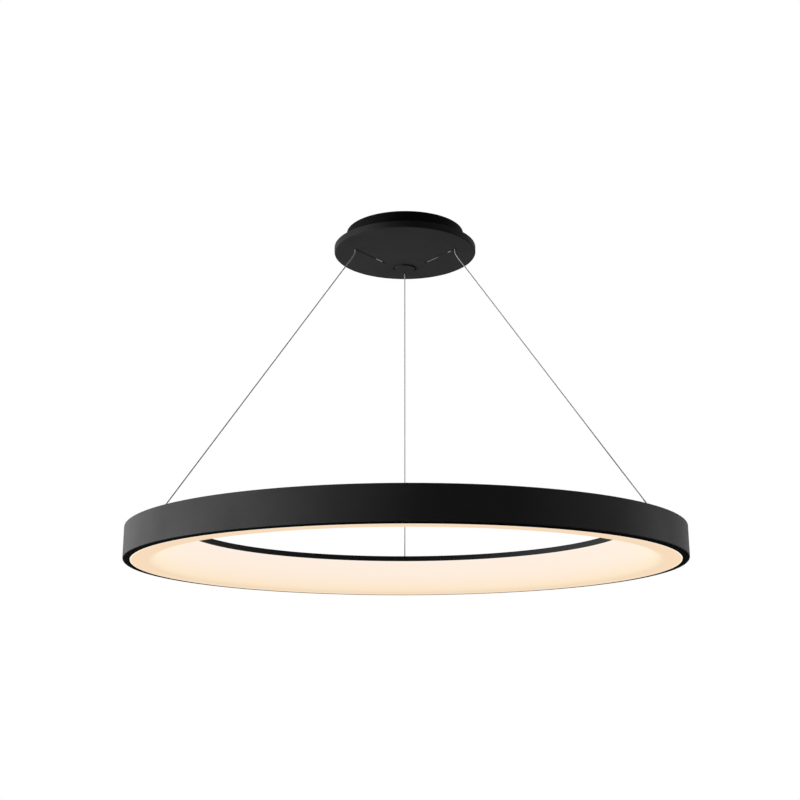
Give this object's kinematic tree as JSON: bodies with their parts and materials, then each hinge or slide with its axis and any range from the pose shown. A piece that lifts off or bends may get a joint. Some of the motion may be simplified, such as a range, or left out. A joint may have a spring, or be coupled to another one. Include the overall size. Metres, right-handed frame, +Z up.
{
  "type": "ring pendant light",
  "caption": "Black ring with an opal underside that glows downward, hung on thin cables from a stepped round ceiling canopy with a cable release button.",
  "frame": {"origin": "middle of the canopy's top face, where it rests against the ceiling", "axes": "+Z up towards the ceiling, -Y to the front, so that the third cable is at the back"},
  "size_m": [0.8999, 0.9, 0.5795],
  "materials": {
    "black_coat": "satin powder coat on steel",
    "black_aluminium": "satin black powder coat on aluminium",
    "opal": "opal acrylic, lit from behind",
    "cable_steel": "stranded steel in a clear sleeve",
    "zinc_steel": "zinc plated",
    "crimp_aluminium": "plain",
    "black_plastic": "moulded",
    "white_plastic": "moulded",
    "wire_sleeve": "wire insulation",
    "grommet_rubber": "soft rubber",
    "board_white": "white solder mask on an aluminium core",
    "chip_yellow": "phosphor"
  },
  "bodies": {
    "canopy": {"canopy_base": "black_coat", "entry_grommet": "grommet_rubber", "chassis_plate": "zinc_steel", "chassis_screws": "zinc_steel", "cover_plate": "black_coat", "plate_screws": "zinc_steel", "cable_guides": "black_coat", "left_tail": "cable_steel", "right_tail": "cable_steel", "back_tail": "cable_steel", "tail_stops": "crimp_aluminium", "clamp_body": "black_plastic", "clamp_cap": "black_plastic", "clamp_screws": "zinc_steel", "clamp_spring": "zinc_steel", "driver_case": "white_plastic", "driver_screws": "zinc_steel", "terminal_block": "white_plastic", "earth_stud": "zinc_steel", "mains_leads": "wire_sleeve", "output_leads": "wire_sleeve", "left_cable": "cable_steel", "right_cable": "cable_steel", "back_cable": "cable_steel"},
    "release": {"release_button": "black_coat", "clamp_jaw": "black_plastic", "jaw_screws": "zinc_steel"},
    "ring": {"outer_hoop": "black_aluminium", "inner_hoop": "black_aluminium", "top_plate": "black_aluminium", "top_screws": "zinc_steel", "led_boards": "board_white", "led_chips": "chip_yellow", "board_screws": "zinc_steel", "diffuser": "opal", "lip_clips": "zinc_steel", "anchor_bushes": "black_coat", "anchor_nuts": "zinc_steel", "cable_stops": "crimp_aluminium", "ring_leads": "wire_sleeve"}
  },
  "joints": [
    {"name": "height_adjust", "type": "slide", "parent": "canopy", "child": "ring", "axis": [0, 0, 1], "range_m": [0, 0.3], "deforming": ["left_cable", "right_cable", "back_cable"]},
    {"name": "release_press", "type": "slide", "parent": "canopy", "child": "release", "axis": [0, 0, 1], "range_m": [0, 0.003], "stiffness_N_per_m": 1500, "springref_m": -0.004, "deforming": ["clamp_spring"]}
  ]
}
